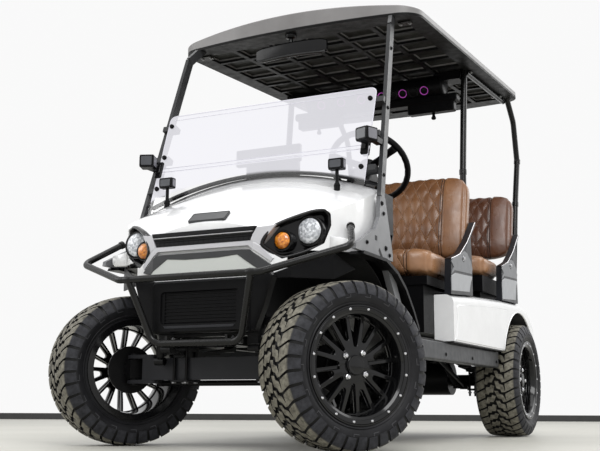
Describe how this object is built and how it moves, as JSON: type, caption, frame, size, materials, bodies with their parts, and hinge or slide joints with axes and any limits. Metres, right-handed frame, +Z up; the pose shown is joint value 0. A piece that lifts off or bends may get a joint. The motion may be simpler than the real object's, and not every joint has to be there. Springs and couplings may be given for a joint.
{
  "type": "golf cart",
  "caption": "Lifted golf cart with front and rear bench seats, a ribbed roof on posts, a clear windshield, a brush guard and steerable spoked wheels on off-road tyres.",
  "frame": {"origin": "on the ground plane, under the middle of the bounding box, with the front wheels turned as in the picture", "axes": "-Y towards the front of the cart, +X towards the cart's left (the driver's side), +Z up"},
  "size_m": [1.4634, 2.764, 1.9846],
  "materials": {
    "tyre": "ribbed off-road rubber",
    "wheel_black": "gloss black",
    "chassis_black": "satin black",
    "axle_grey": "satin dark grey",
    "black_plastic": "matte black",
    "black_gloss": "gloss black",
    "grey_paint": "satin grey powder coat",
    "guard_black": "textured black powder coat",
    "white_paint": "gloss white",
    "brown_leather": "quilted saddle brown",
    "lamp_glass": "clear lens",
    "amber_glass": "amber lens",
    "red_glass": "red lens",
    "clear_pane": "clear"
  },
  "bodies": {
    "chassis": {"front_axle": "axle_grey", "leaf_springs": "chassis_black", "rear_axle": "chassis_black", "frame": "chassis_black", "floor_pan": "black_plastic", "rocker_panels": "grey_paint", "pedals": "black_plastic", "seat_base": "black_plastic", "battery_pack": "black_plastic", "rear_seat_pan": "black_plastic", "rear_cushion": "brown_leather", "front_backrest": "brown_leather", "rear_backrest": "brown_leather", "seat_brackets": "grey_paint", "front_cowl": "white_paint", "lamp_bezels": "black_plastic", "headlamps": "lamp_glass", "turn_lamps": "amber_glass", "grille": "black_gloss", "badge": "black_gloss", "front_fascia": "white_paint", "lower_bumper": "black_plastic", "brush_guard": "guard_black", "fender_liners": "black_plastic", "steering_column": "black_plastic", "dashboard": "black_plastic", "rear_body": "white_paint", "rear_deck": "black_plastic", "rear_bumper": "guard_black", "tail_lamps": "red_glass", "roof": "black_gloss", "windshield": "clear_pane", "windshield_hinge": "clear_pane", "windshield_clips": "black_plastic", "front_struts": "grey_paint", "wheel_flares": "black_plastic", "roof_posts": "guard_black", "lamp_pods": "black_plastic", "cabin_mirror": "black_gloss", "sound_bar": "black_plastic", "display": "black_gloss"},
    "knuckle_left": {"knuckle_left": "chassis_black"},
    "knuckle_right": {"knuckle_right": "chassis_black"},
    "tie_rod": {"tie_rod": "chassis_black"},
    "steering_wheel": {"steering_wheel": "black_plastic"},
    "seat_lid": {"front_cushion": "brown_leather", "front_seat_pan": "black_plastic"},
    "wheel_front_left": {"tyre_front_left": "tyre", "rim_front_left": "wheel_black"},
    "wheel_front_right": {"tyre_front_right": "tyre", "rim_front_right": "wheel_black"},
    "wheel_rear_left": {"tyre_rear_left": "tyre", "rim_rear_left": "wheel_black"},
    "wheel_rear_right": {"tyre_rear_right": "tyre", "rim_rear_right": "wheel_black"}
  },
  "joints": [
    {"name": "steer_left", "type": "hinge", "parent": "chassis", "child": "knuckle_left", "pos_m": [0.419, -1.043, 0.292], "axis": [0, 0, 1], "range_deg": [-2.3, 67.7]},
    {"name": "steer_right", "type": "hinge", "parent": "chassis", "child": "knuckle_right", "pos_m": [-0.419, -1.043, 0.292], "axis": [0, 0, 1], "range_deg": [-2.3, 67.7]},
    {"name": "tie_rod_slide", "type": "slide", "parent": "chassis", "child": "tie_rod", "axis": [1, 0, 0], "range_m": [-0.123, 0.0045]},
    {"name": "steering_wheel_turn", "type": "hinge", "parent": "chassis", "child": "steering_wheel", "pos_m": [0.27, -0.293, 1.2], "axis": [0, 0.7071, 0.7071], "range_deg": [-18.4, 541.6]},
    {"name": "roll_front_left", "type": "hinge", "parent": "knuckle_left", "child": "wheel_front_left", "pos_m": [0.49474, -1.09162, 0.292], "axis": [0.8415, -0.5402, 0], "continuous": true},
    {"name": "roll_front_right", "type": "hinge", "parent": "knuckle_right", "child": "wheel_front_right", "pos_m": [-0.49474, -0.99438, 0.292], "axis": [0.8415, -0.5402, 0], "continuous": true},
    {"name": "roll_rear_left", "type": "hinge", "parent": "chassis", "child": "wheel_rear_left", "pos_m": [0.532, 0.997, 0.292], "axis": [1, 0, 0], "continuous": true},
    {"name": "roll_rear_right", "type": "hinge", "parent": "chassis", "child": "wheel_rear_right", "pos_m": [-0.532, 0.997, 0.292], "axis": [1, 0, 0], "continuous": true},
    {"name": "seat_lid_hinge", "type": "hinge", "parent": "chassis", "child": "seat_lid", "pos_m": [0, -0.298, 0.6622], "axis": [1, 0, 0], "range_deg": [0, 45]}
  ],
  "couplings": [
    {"joint": "steer_right", "follows": "steer_left", "ratio": 1},
    {"joint": "tie_rod_slide", "follows": "steer_left", "m_per_rad": -0.1037},
    {"joint": "steering_wheel_turn", "follows": "steer_left", "ratio": 8}
  ]
}
